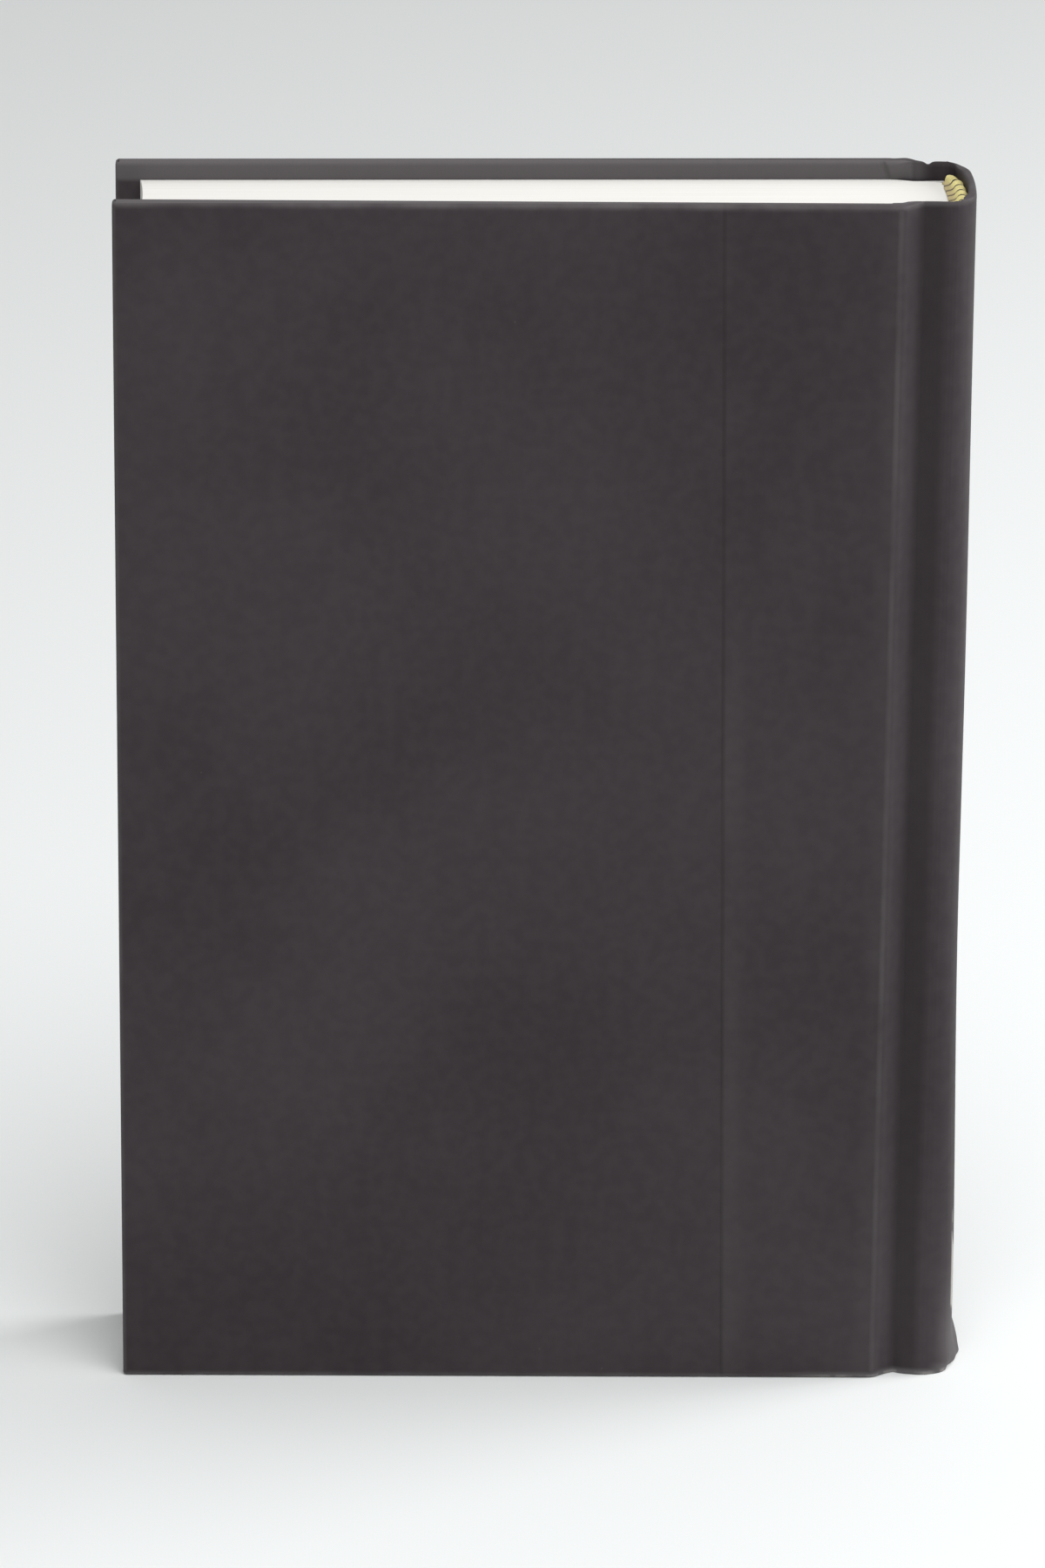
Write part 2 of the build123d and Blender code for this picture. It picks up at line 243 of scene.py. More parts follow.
# ---- Shader helpers -----------------------------------------------------------------------------------
class Nodes:
    """Short words for building one node tree."""

    def __init__(self, tree):
        self.tree = tree

    def add(self, kind, **values):
        node = self.tree.nodes.new(kind)
        for key, value in values.items():
            setattr(node, key, value)
        return node

    def feed(self, socket, value):
        if isinstance(value, bpy.types.NodeSocket):
            self.tree.links.new(value, socket)
        else:
            socket.default_value = value

    def math(self, operation, first, second=0.0, third=0.0, clamp=False):
        node = self.add("ShaderNodeMath", operation=operation, use_clamp=clamp)
        for socket, value in zip(node.inputs, (first, second, third)):
            self.feed(socket, value)
        return node.outputs[0]

    def times(self, *values):
        """The product of several values."""
        product = values[0]
        for value in values[1:]:
            product = self.math("MULTIPLY", product, value)
        return product

    def spread(self, value, from_low, from_high, to_low=0.0, to_high=1.0):
        """A smooth step from to_low at from_low to to_high at from_high."""
        node = self.add("ShaderNodeMapRange", interpolation_type="SMOOTHSTEP")
        for socket, given in zip(node.inputs, (value, from_low, from_high, to_low, to_high)):
            self.feed(socket, given)
        return node.outputs[0]

    def noise(self, place, scale, detail=2.0, roughness=0.5):
        node = self.add("ShaderNodeTexNoise")
        given = {"Vector": place, "Scale": scale, "Detail": detail, "Roughness": roughness}
        for name, value in given.items():
            self.feed(node.inputs[name], value)
        return node.outputs[0]

    def stretch(self, place, scale):
        node = self.add("ShaderNodeMapping")
        self.feed(node.inputs["Vector"], place)
        node.inputs["Scale"].default_value = scale
        return node.outputs[0]

    def mix(self, factor, first, second):
        node = self.add("ShaderNodeMix", data_type="RGBA")
        self.feed(node.inputs["Factor"], factor)
        for name, value in (("A", first), ("B", second)):
            socket = next(s for s in node.inputs if s.name == name and s.type == "RGBA")
            self.feed(socket, value if isinstance(value, bpy.types.NodeSocket) else (*value, 1))
        return next(s for s in node.outputs if s.type == "RGBA")

    def split(self, place):
        node = self.add("ShaderNodeSeparateXYZ")
        self.feed(node.inputs[0], place)
        return node.outputs[:]

    def join(self, x, y, z):
        node = self.add("ShaderNodeCombineXYZ")
        for socket, value in zip(node.inputs, (x, y, z)):
            self.feed(socket, value)
        return node.outputs[0]


def make_group(name, inputs, outputs, build):
    """A shader node group with named sockets. build(nodes, inputs) returns its outputs by name."""
    if name in bpy.data.node_groups:
        return bpy.data.node_groups[name]
    tree = bpy.data.node_groups.new(name, "ShaderNodeTree")
    for label, kind, default in inputs:
        socket = tree.interface.new_socket(label, in_out="INPUT", socket_type=kind)
        if default is not None:
            socket.default_value = default
    for label, kind in outputs:
        tree.interface.new_socket(label, in_out="OUTPUT", socket_type=kind)
    nodes = Nodes(tree)
    entry = nodes.add("NodeGroupInput")
    exit_node = nodes.add("NodeGroupOutput")
    for label, value in build(nodes, entry.outputs).items():
        nodes.feed(exit_node.inputs[label], value)
    return tree


def use_group(nodes, tree, **values):
    """Places a group with its own values, and returns its outputs."""
    node = nodes.add("ShaderNodeGroup", node_tree=tree)
    for label, value in values.items():
        nodes.feed(node.inputs[label.replace("_", " ").title()], value)
    return node.outputs


FLOAT, VECTOR = "NodeSocketFloat", "NodeSocketVector"


def paper_grain():
    """Fine tooth and faint felt marks of a sheet of paper: a height and a soft colour variation."""

    def build(nodes, given):
        tooth = nodes.noise(given["Place"], given["Tooth Scale"], 3.0, 0.6)
        felt = nodes.noise(given["Place"], given["Felt Scale"], 2.0)
        height = nodes.math("MULTIPLY_ADD", felt, 0.5, tooth)
        return {"Height": height, "Tone": nodes.spread(felt, 0.3, 0.7)}

    return make_group(
        "Paper Grain",
        [("Place", VECTOR, None), ("Tooth Scale", FLOAT, 2600.0), ("Felt Scale", FLOAT, 420.0)],
        [("Height", FLOAT), ("Tone", FLOAT)],
        build,
    )


def woven_threads():
    """Crossing threads of a plain weave: a height and a mask of the gaps."""

    def build(nodes, given):
        _, y, z = nodes.split(given["Place"])
        waves = nodes.times(given["Count"], 2 * math.pi)
        warp = nodes.math("SINE", nodes.times(y, waves))
        weft = nodes.math("SINE", nodes.times(z, waves))
        height = nodes.math("MAXIMUM", warp, weft)
        return {"Height": height, "Gaps": nodes.spread(height, 0.2, -0.3)}

    return make_group(
        "Woven Threads",
        [("Place", VECTOR, None), ("Count", FLOAT, 900.0)],
        [("Height", FLOAT), ("Gaps", FLOAT)],
        build,
    )


def new_material(name, roughness, specular=0.35):
    """A new material, its nodes and its shader."""
    material = bpy.data.materials.new(name)
    material.use_nodes = True
    nodes = Nodes(material.node_tree)
    shader = material.node_tree.nodes["Principled BSDF"]
    shader.inputs["Roughness"].default_value = roughness
    shader.inputs["Specular IOR Level"].default_value = specular
    return material, nodes, shader


def object_place(nodes):
    """Place in the book, for a piece whose pattern need not follow a bend."""
    return nodes.add("ShaderNodeTexCoord").outputs["Object"]


def rest_place(nodes):
    """Place before the paper was folded and bumped, so that a pattern stays on the paper."""
    return nodes.add("ShaderNodeAttribute", attribute_name="rest_place").outputs["Vector"]


def add_bump(nodes, shader, height, strength, distance):
    node = nodes.add("ShaderNodeBump")
    node.inputs["Strength"].default_value = strength
    node.inputs["Distance"].default_value = distance
    nodes.feed(node.inputs["Height"], height)
    nodes.feed(shader.inputs["Normal"], node.outputs[0])


# ---- Materials ----------------------------------------------------------------------------------------
def band_mask(nodes, value, centre, inner, outer, strength=1.0):
    """A soft stripe: full strength within inner of the centre, nothing beyond outer."""
    off = nodes.math("ABSOLUTE", nodes.math("SUBTRACT", value, centre))
    return nodes.spread(off, outer, inner, 0.0, strength)


def most(nodes, *masks):
    """The strongest of several masks."""
    strongest = masks[0]
    for mask in masks[1:]:
        strongest = nodes.math("MAXIMUM", strongest, mask)
    return strongest


def edge_wear_and_highlight(nodes, place, out, case):
    """Mask of the rubbed edges: the head, the tail and the fore-edge, and the board's edge beside the joint,
    which is partly rubbed and partly a painted highlight.
    """
    x, _, z = nodes.split(place)
    tall, face = COVER_HIGH.z, -COVER_LOW.y
    head = nodes.spread(z, tall - 1.2 * MM, tall - 0.1 * MM, 0.0, 0.7)
    tail = nodes.spread(z, 1.2 * MM, 0.1 * MM)
    fore = nodes.spread(x, COVER_LOW.x + 0.9 * MM, COVER_LOW.x + 0.1 * MM, 0.0, 0.7)
    on_face = nodes.spread(out, face - 1.4 * MM, face - 0.5 * MM)
    # Partly real wear, partly a painted highlight along the board's rounded edge beside the joint.
    crest = band_mask(nodes, x, case.crest_x - 0.5 * MM, 0.1 * MM, 0.9 * MM, 0.42)
    soft = band_mask(nodes, x, case.crest_x - MM, 0.5 * MM, 4.0 * MM, 0.13)
    edges = most(nodes, head, tail, fore, nodes.times(crest, on_face), nodes.times(soft, on_face))
    patches = nodes.noise(nodes.stretch(place, (1, 1, 0.5)), 80.0, 4.0, 0.6)
    return nodes.times(edges, nodes.spread(patches, 0.34, 0.66, 0.35, 1.0))


def panel_marks(nodes, place):
    """Mask of the marks on the panels: a long rub beside the crease, and fields of specks."""
    x, _, z = nodes.split(place)
    waver = nodes.noise(nodes.stretch(place, (0, 0, 1)), 22.0)
    lean = nodes.math("MULTIPLY_ADD", z, CREASE_LEAN, nodes.math("MULTIPLY_ADD", waver, 1.2 * MM, x))
    streaks = nodes.noise(nodes.stretch(place, (1, 1, 0.35)), 45.0, 2.0)
    rub = nodes.times(
        nodes.spread(lean, 39.5 * MM, 34.8 * MM, 0.0, 0.13),
        nodes.spread(lean, 33.9 * MM, 34.3 * MM),
        nodes.spread(streaks, 0.34, 0.62),
    )
    specks = nodes.spread(nodes.noise(place, 820.0, 1.0), 0.80, 0.86, 0.0, 0.55)
    fields = nodes.spread(nodes.noise(place, 26.0, 1.0), 0.54, 0.7)
    return most(nodes, rub, nodes.times(specks, fields))


def tail_marks(nodes, place, case):
    """Mask of the rubbed tail: the crumpled spine, the tip of its side and the panel's edge."""
    x, _, z = nodes.split(place)
    on_spine = nodes.spread(x, case.floor_x + 5.0 * MM, case.floor_x + 8.3 * MM, 0.0, 0.75)
    crumple = nodes.times(nodes.spread(z, 24.0 * MM, 3.0 * MM), on_spine)
    side_tip = nodes.times(nodes.spread(z, 3.0 * MM, 0.6 * MM), nodes.spread(x, 70.5 * MM, 73.0 * MM))
    edge = nodes.times(nodes.spread(z, 1.6 * MM, 0.4 * MM), nodes.spread(x, 35 * MM, 58 * MM))
    return most(nodes, crumple, side_tip, edge)


def turn_in_painted_light(nodes, place, out, case):
    """Mask of painted light on the inner face of the turned-in paper past the pages, standing in for light
    bounced from the pages and falling from above.
    """
    x, _, z = nodes.split(place)
    middle = nodes.spread(x, case.crest_x, case.foot_x, 13.4 * MM, 11.3 * MM)
    inside = nodes.spread(nodes.math("SUBTRACT", out, middle), 0.1 * MM, -0.3 * MM)
    past = nodes.spread(z, PAGES_HIGH.z - 0.5 * MM, PAGES_HIGH.z + 0.5 * MM, 0.0, 0.9)
    return nodes.times(inside, past, nodes.spread(x, 69 * MM, 64 * MM))


def bare_paper(nodes, place):
    """Mask of the scraped places at the tail of the spine, where the paper's pale core shows."""
    x, y, z = nodes.split(place)
    broken = nodes.spread(nodes.noise(nodes.stretch(place, (1, 1, 0.45)), 300.0, 3.0), 0.43, 0.55)
    line = nodes.times(
        band_mask(nodes, y, -7.2 * MM, 0.6 * MM, 1.3 * MM),
        nodes.spread(x, 73.2 * MM, 73.7 * MM),
        band_mask(nodes, z, 20 * MM, 10 * MM, 13 * MM, 0.75),
    )
    on_back = nodes.spread(y, -4 * MM, -8 * MM)
    low, foot = nodes.spread(z, 1.1 * MM, 0.3 * MM, 0.0, 0.5), nodes.spread(z, 0.9 * MM, 0.3 * MM, 0.0, 0.3)
    tip = nodes.times(low, nodes.spread(x, 71.5 * MM, 73 * MM), on_back)
    strip = nodes.times(foot, nodes.spread(x, 44 * MM, 56 * MM), on_back)
    return nodes.times(most(nodes, line, tip, strip), broken)


def joint_shade(nodes, place, out, case):
    """Mask of painted shade: darker in the joint's groove where shade falls, a painted shadow beside the fold
    in the turn-in, and a dark line along the crease in the panel.
    """
    x, _, z = nodes.split(place)
    # Painted shade in the joint's groove.
    joint = band_mask(nodes, x, case.floor_x + 0.4 * MM, 1.2 * MM, 3.4 * MM, 0.5)
    lean = nodes.math("MULTIPLY_ADD", z, CREASE_LEAN, x)
    crease = band_mask(nodes, lean, 33.6 * MM, 0.15 * MM, 0.5 * MM, 0.4)
    slant = nodes.math("MULTIPLY_ADD", z, FOLD_LEAN, x)
    # Painted shadow beside the step of the folded turn-in.
    line = band_mask(nodes, slant, FOLD_X + FOLD_LEAN * COVER_HIGH.z, 0.3 * MM, 0.9 * MM, 0.8)
    inside = nodes.spread(out, 12.9 * MM, 12.4 * MM)
    past = nodes.spread(z, PAGES_HIGH.z - MM, PAGES_HIGH.z)
    return most(nodes, joint, crease, nodes.times(line, nodes.times(inside, past)))


def cover_masks(case):
    """Masks on a cover paper: the worn edges and marks with painted light on the turned-in paper, painted
    Shade in the joint and beside the turn-in's fold with a dark line on the crease, and the Bare core.

    Side is 1 on the back cover and -1 on the front, and Turn In scales the painted light on the turned-in
    paper.
    """

    def build(nodes, given):
        place = given["Place"]
        _, y, _ = nodes.split(place)
        out = nodes.times(y, nodes.times(given["Side"], -1.0))
        # Painted light on the turned-in paper past the pages.
        turned = nodes.times(turn_in_painted_light(nodes, place, out, case), given["Turn In"])
        # These marks include the painted light on the turned-in paper.
        marks = most(nodes, panel_marks(nodes, place), tail_marks(nodes, place, case), turned)
        fading = nodes.spread(y, -3.0 * MM, 9.0 * MM, 1.0, FRONT_FADE)
        return {
            "Worn And Painted Light": most(nodes, edge_wear_and_highlight(nodes, place, out, case), nodes.times(marks, fading)),
            "Shade": joint_shade(nodes, place, out, case),
            "Bare": bare_paper(nodes, place),
        }

    return make_group(
        "Cover Masks",
        [("Place", VECTOR, None), ("Side", FLOAT, 1.0), ("Turn In", FLOAT, 1.0)],
        [("Worn And Painted Light", FLOAT), ("Shade", FLOAT), ("Bare", FLOAT)],
        build,
    )


def cover_material(case, colours, side_name):
    """Charcoal paper with soft clouds and streaks, rubbed edges and marks, a partly painted highlight on the
    board's edge, painted light on the turned-in paper and painted shade in the joint.
    """
    side = SIDES[side_name]
    material, nodes, shader = new_material(f"{side_name} charcoal cover paper", 0.62, 0.22)
    place = rest_place(nodes)
    clouds = nodes.noise(place, 21.0, 2.0, 0.45)
    streaks = nodes.noise(nodes.stretch(place, (1.0, 1.0, 0.3)), 210.0, 2.0, 0.6)
    tone = nodes.spread(nodes.math("MULTIPLY_ADD", streaks, 0.16, clouds), 0.36, 0.80)
    grain = use_group(nodes, paper_grain(), place=place)
    # Keeps the painted light on the front cover's turned-in paper at full strength.
    turn_in_light_level = 1.0 if side > 0 else 1 / FRONT_FADE
    masks = use_group(nodes, cover_masks(case), place=place, side=float(side), turn_in=turn_in_light_level)
    base = nodes.mix(tone, colours.cover_dark_and_shade, colours.cover)
    base = nodes.mix(nodes.times(grain["Tone"], 0.05), base, colours.cover_worn)
    # Painted shade: darkens the joint's groove, paints a shadow beside the turn-in's fold and a dark line on
    # the crease.
    base = nodes.mix(masks["Shade"], base, [c * 0.5 for c in colours.cover_dark_and_shade])
    # Lighter where rubbed, with painted light on the turned-in paper and a partly painted highlight on the
    # board's edge.
    base = nodes.mix(nodes.times(masks["Worn And Painted Light"], 0.62), base, colours.cover_worn)
    base = nodes.mix(masks["Bare"], base, colours.cover_core)
    nodes.feed(shader.inputs["Base Color"], base)
    nodes.feed(shader.inputs["Roughness"], nodes.spread(masks["Worn And Painted Light"], 0.0, 1.0, 0.6, 0.74))
    add_bump(nodes, shader, grain["Height"], 0.35, 0.03 * MM)
    return material


def pages_material(colours):
    """Trimmed edges of the leaves, as fine lines that follow the wedge of the text block."""
    material, nodes, shader = new_material("page edges", 0.72, 0.25)
    place = object_place(nodes)
    x, y, z = nodes.split(place)
    fore_half, widest_x = 10.2 * MM, 61.25 * MM
    growth = (PAGES_HIGH.y - fore_half) / (widest_x - PAGES_LOW.x)
    half = nodes.math("MULTIPLY_ADD", x, growth, fore_half - growth * PAGES_LOW.x)
    across = nodes.math("DIVIDE", y, half)
    lines = nodes.join(across, nodes.times(x, 0.15), nodes.times(z, 0.15))
    fine = nodes.noise(lines, 150.0, 2.0, 0.7)
    bundles = nodes.noise(lines, 26.0, 1.0)
    gaps = nodes.math("MULTIPLY_ADD", nodes.spread(bundles, 0.62, 0.38), 0.45, nodes.spread(fine, 0.6, 0.34))
    base = nodes.mix(nodes.times(gaps, 0.4), colours.pages, colours.pages_dark)
    # Tan tint beside the spine: partly glue, partly painted shade under the headband and a painted warm
    # reflection of its threads.
    glue_and_shade = nodes.times(nodes.spread(x, 69.6 * MM, 70.5 * MM), nodes.spread(fine, 0.2, 0.7, 0.75, 1.0))
    base = nodes.mix(glue_and_shade, base, colours.glue_and_shade)
    nodes.feed(shader.inputs["Base Color"], base)
    add_bump(nodes, shader, nodes.math("MULTIPLY_ADD", bundles, 0.6, fine), 0.5, 0.05 * MM)
    return material


def sheet_material(name, tone, shadow, tooth=0.3, place_of=object_place, roughness=0.7):
    """A plain sheet of paper or board with its grain."""
    material, nodes, shader = new_material(name, roughness, 0.25)
    grain = use_group(nodes, paper_grain(), place=place_of(nodes))
    nodes.feed(shader.inputs["Base Color"], nodes.mix(grain["Tone"], [c * shadow for c in tone], tone))
    add_bump(nodes, shader, grain["Height"], tooth, 0.03 * MM)
    return material


def gauze_material(colours):
    """Starched open weave."""
    material, nodes, shader = new_material("starched gauze", 0.85, 0.2)
    weave = use_group(nodes, woven_threads(), place=object_place(nodes))
    base = nodes.mix(weave["Gaps"], colours.gauze, [c * 0.55 for c in colours.gauze])
    nodes.feed(shader.inputs["Base Color"], base)
    add_bump(nodes, shader, weave["Height"], 0.6, 0.1 * MM)
    return material


def thread_material(name, tone, glued):
    """Twisted cotton thread, tinted where it lies on the pages: partly a stain from the adhesive, partly
    painted shade on the inner side of the beads.
    """
    material, nodes, shader = new_material(name, 0.6, 0.3)
    place = object_place(nodes)
    fibres = nodes.noise(nodes.stretch(place, (1.0, 1.6, 1.0)), 5200.0, 2.0, 0.6)
    patches = nodes.noise(place, 700.0, 1.0)
    mixed = nodes.spread(nodes.math("MULTIPLY_ADD", patches, 0.5, fibres), 0.5, 0.95)
    base = nodes.mix(mixed, [c * 0.72 for c in tone], tone)
    x, _, z = nodes.split(place)
    middle = (PAGES_HIGH.z + PAGES_LOW.z) / 2
    from_middle = nodes.math("ABSOLUTE", nodes.math("SUBTRACT", z, middle))
    past = nodes.math("SUBTRACT", from_middle, PAGES_HIGH.z - middle)
    # Painted shade and stain on the inner side of the beads, where the threads lie on the pages.
    low = nodes.times(nodes.spread(past, 1.0 * MM, 0.35 * MM), nodes.spread(x, 71.9 * MM, 71.4 * MM))
    base = nodes.mix(nodes.times(low, 0.8), base, glued)
    nodes.feed(shader.inputs["Base Color"], base)
    shader.inputs["Sheen Weight"].default_value = 0.15
    add_bump(nodes, shader, fibres, 0.5, 0.04 * MM)
    return material


# ---- Cover papers -------------------------------------------------------------------------------------
def case_corners(case):
    """Corners of half the case's section: x, distance from the middle plane, rounding and its steps."""
    fore_x = COVER_LOW.x
    crown_x = SPINE_X
    board_out = -COVER_LOW.y
    fore_out = board_out - 1.5 * MM
    inner_crest = board_out - 2.9 * MM
    joint_in = case.joint_half - case.joint_wall
    inside_x = crown_x - case.spine_wall
    return [
        (crown_x, 0, 0, 0),
        (crown_x, 2.2 * MM, 2.0 * MM, 4),
        (crown_x - 0.5 * MM, case.side_half, case.corner_reach, 12),
        (case.floor_x, case.joint_half, 1.1 * MM, 4),
        (case.foot_x, case.joint_half, 1.0 * MM, 5),
        (case.crest_x, board_out, 1.0 * MM, 6),
        (fore_x, fore_out, case.board_edge, 5),
        (fore_x, fore_out - 2.9 * MM, case.board_edge * 0.7, 4),
        (case.crest_x - 0.1 * MM, inner_crest, 1.0 * MM, 4),
        (case.foot_x - 0.3 * MM, joint_in, 1.0 * MM, 4),
        (case.floor_x, joint_in, 0.9 * MM, 3),
        (crown_x - 2.9 * MM, case.side_half - 0.52 * MM, 2.3 * MM, 6),
        (crown_x - 2.85 * MM, 8.8 * MM, 0, 0),
        (crown_x - 1.8 * MM, 6.2 * MM, 0.8 * MM, 2),
        (inside_x, 0, 0, 0),
    ]


def edge_radius(case, x):
    """Rounding of the head and tail edges along the cover: wide on the board, small in the joint."""
    in_joint = ramp(case.crest_x - 0.8 * MM, case.foot_x - MM, x)
    on_spine = ramp(SPINE_X - 2.6 * MM, SPINE_X - 1.6 * MM, x)
    board = case.board_edge + (case.joint_edge - case.board_edge) * in_joint
    return board + (case.spine_edge - case.joint_edge) * on_spine


def wrap_solid(bm, case):
    """The wrapped half case as a closed prism with rounded head and tail edges."""
    station = bm.verts.layers.int.new("station")
    corners = case_corners(case)
    verts = [bm.verts.new((x, -out, 0)) for x, out, _, _ in corners]
    bm.faces.new(verts)
    for vert, (_, _, reach, count) in zip(verts, corners):
        if reach:
            bmesh.ops.bevel(
                bm,
                geom=[vert],
                offset=reach,
                offset_type="OFFSET",
                segments=count,
                profile=0.5,
                material=-1,
                affect="VERTICES",
                clamp_overlap=False,
            )
    bm.faces.ensure_lookup_table()
    outline = list(bm.faces[0].verts)
    base = []
    for index, vert in enumerate(outline):
        vert[station] = index
        along = outline[(index + 1) % len(outline)].co - outline[index - 1].co
        outward = Vector((along.y, -along.x, 0)).normalized()
        if abs(vert.co.y) < 1e-7:
            outward = Vector((math.copysign(1, vert.co.x - SPINE_X + MM / 2), 0, 0))
        base.append((vert.co.copy(), outward, edge_radius(case, vert.co.x)))
    if (base[1][0] - base[0][0]).cross(base[0][1]).z > 0:
        base = [(co, -out if abs(co.y) > 1e-7 else out, radius) for co, out, radius in base]

    def place(vert, turn, at_head):
        co, outward, radius = base[vert[station]]
        inset = radius * (1 - math.cos(turn))
        rise = radius * (1 - math.sin(turn))
        z = COVER_HIGH.z - rise if at_head else rise
        vert.co = Vector((co.x, co.y, 0)) - outward * inset + Vector((0, 0, z))

    count = 4
    turns = [math.pi / 2 * (1 - index / count) for index in range(count + 1)]
    for vert in outline:
        place(vert, turns[0], False)
    ring = list(bm.faces[0].edges)
    for turn, at_head in [(turn, False) for turn in turns[1:]] + [(turn, True) for turn in reversed(turns)]:
        made = bmesh.ops.extrude_edge_only(bm, edges=ring)["geom"]
        fresh = {item for item in made if isinstance(item, bmesh.types.BMVert)}
        ring = [item for item in made if isinstance(item, bmesh.types.BMEdge) and set(item.verts) <= fresh]
        for vert in fresh:
            place(vert, turn, at_head)
    bmesh.ops.contextual_create(bm, geom=ring)
    bmesh.ops.recalc_face_normals(bm, faces=bm.faces[:])


def refine(bm, case):
    """Edge loops across the sheet, close together at the hinge line and where it takes its dents."""
    tall = COVER_HIGH.z
    cut_loops(bm, 2, steps(10 * MM, tall - 8 * MM, 6 * MM))
    cut_loops(bm, 2, [case.turn_in, tall - case.turn_in])
    cut_loops(bm, 2, steps(0.6 * MM, 10.6 * MM, 0.7 * MM))
    cut_loops(bm, 2, steps(tall - 6 * MM, tall - 0.8 * MM, 0.8 * MM))
    cut_loops(bm, 0, [COVER_LOW.x + case.turn_in])
    cut_loops(bm, 0, steps(COVER_LOW.x + 2 * MM, case.crest_x - 3 * MM, 7 * MM))
    cut_loops(bm, 0, steps(58.8 * MM, case.crest_x - 0.6 * MM, 0.2 * MM))
    cut_loops(bm, 0, steps(case.crest_x + 0.6 * MM, HINGE.x - 1.2 * MM, 0.45 * MM))
    cut_loops(bm, 0, steps(HINGE.x - 1.2 * MM, HINGE.x + 1.2 * MM, 0.2 * MM))

    def on_back(face):
        return face.calc_center_median().x > SPINE_X - 2 * MM

    cut_loops(bm, 1, steps(-11 * MM, 0, 0.7 * MM), on_back)


def inner_share(co, case):
    """1 on the wall's inner faces at the head and tail, 0 on its outer faces."""
    share = min(max((co.x - case.crest_x) / (case.foot_x - case.crest_x), 0), 1)
    at_crest, drop = 13.55, 2.25
    middle = (at_crest - drop * share) * MM
    return ramp(middle + 0.15 * MM, middle - 0.15 * MM, abs(co.y))


def spine_push(co, case):
    """How far the spine moves outwards: its head sits back, its tail is spread, crumpled and notched."""
    tall = COVER_HIGH.z
    marked = ramp(9.0 * MM, -1.0 * MM, co.y)
    push = -0.45 * MM * ramp(0.55 * tall, tall, co.z)
    push += case.tail_swell * ramp(0.42 * tall, 0.03 * tall, co.z) * (0.55 + 0.45 * marked)
    crumple = noise.noise(co * 300) * ramp(22 * MM, 3 * MM, co.z)
    cut_back = 0.3 + 0.7 * ramp(-10.0 * MM, -3.5 * MM, co.y)
    flare = case.tail_flare * ramp(7.0 * MM, 0.8 * MM, co.z) * (1 + 0.25 * crumple) * cut_back
    notch = 0.9 * MM * hill(co.y, -8.4 * MM, 1.1 * MM) * ramp(2.2 * MM, 0, co.z)
    push += (flare - notch) * marked + 0.12 * MM * crumple * marked
    return push * ramp(69.5 * MM, 74.2 * MM, co.x)


def back_joint_push(co, case):
    """How far the back cover's joint is pushed out at the tail."""
    joint = ramp(case.crest_x + 0.8 * MM, case.floor_x + MM, co.x) * ramp(5 * MM, 10 * MM, -co.y)
    spread = ramp(14 * MM, 0.6 * MM, co.z) ** 1.5 * (0.75 + 0.25 * ramp(66 * MM, 72 * MM, co.x))
    return case.tail_crush * joint * spread


def front_joint_push(co, case):
    """How far the front cover's joint bulges out at the head, and how far its edge dips there."""
    tall = COVER_HIGH.z
    joint = ramp(case.crest_x - 0.2 * MM, case.crest_x + 2.6 * MM, co.x) * ramp(5 * MM, 10 * MM, co.y)
    joint *= 1 - 0.55 * inner_share(co, case) * ramp(67 * MM, 65 * MM, co.x)
    bulge = 0.9 + 0.9 * ramp(66.6 * MM, 64.4 * MM, co.x) - 0.45 * ramp(70.5 * MM, 73.5 * MM, co.x)
    high = ramp(tall - 15 * MM, tall - 0.6 * MM, co.z)
    dip = 0.5 * MM * hill(co.x, 67.2 * MM, 0.6 * MM) * ramp(tall - 3 * MM, tall, co.z) * joint
    return case.head_swell * joint * high * bulge, dip


def handling(co, case):
    """How far a point of the case is moved by use."""
    push = spine_push(co, case)
    if co.y < 0:
        return Vector((push, -back_joint_push(co, case), 0))
    out, dip = front_joint_push(co, case)
    return Vector((push, out, -dip))


def fold_over(co, case):
    """Past the pages, the turn-in is folded double from just before the board's spine edge."""
    start = FOLD_X + (COVER_HIGH.z - co.z) * FOLD_LEAN
    step = case.fold_step * ramp(start, start + 0.35 * MM, co.x)
    if co.y < 0:
        step += case.fold_step * ramp(case.crest_x + 0.1 * MM, case.crest_x + 0.9 * MM, co.x)
    inner = inner_share(co, case)
    fading = 1 - min(max((co.x - 62.2 * MM) / (2.4 * MM), 0), 1)
    above = ramp(PAGES_HIGH.z + 0.15 * MM, PAGES_HIGH.z + 0.5 * MM, co.z)
    return Vector((0, -math.copysign(step * inner * fading * above, co.y), 0))


def open_inside(bm, case):
    """Removes the inside between the turn-ins and the closing face on the middle plane."""
    inward = Vector((-1, 1, 0)).normalized()
    gone = []
    for face in bm.faces:
        centre = face.calc_center_median()
        on_middle = all(abs(vert.co.y) < 1e-6 for vert in face.verts)
        between = case.turn_in < centre.z < COVER_HIGH.z - case.turn_in
        if on_middle or (
            between and centre.x > COVER_LOW.x + case.turn_in and face.normal.dot(inward) > 0.2
        ):
            gone.append(face)
    bmesh.ops.delete(bm, geom=gone, context="FACES")


def build_cover_paper(case, side_name):
    """One sheet from the fore-edge over the board and the joint to the middle of the spine."""
    side = SIDES[side_name]
    bm = bmesh.new()
    wrap_solid(bm, case)
    refine(bm, case)
    open_inside(bm, case)
    if side < 0:
        bmesh.ops.scale(bm, vec=(1, -1, 1), verts=bm.verts[:])
        bmesh.ops.reverse_faces(bm, faces=bm.faces[:])
    place = bm.verts.layers.float_vector.new("rest_place")
    for vert in bm.verts:
        vert[place] = vert.co
        vert.co += fold_over(vert.co, case)
        vert.co += handling(vert.co, case)
    name = f"{side_name}_cover_wrapper"
    piece = new_object(name, mesh_from(bm, name))
    thicken(piece, case.paper)
    shade(piece, 50)
    return piece


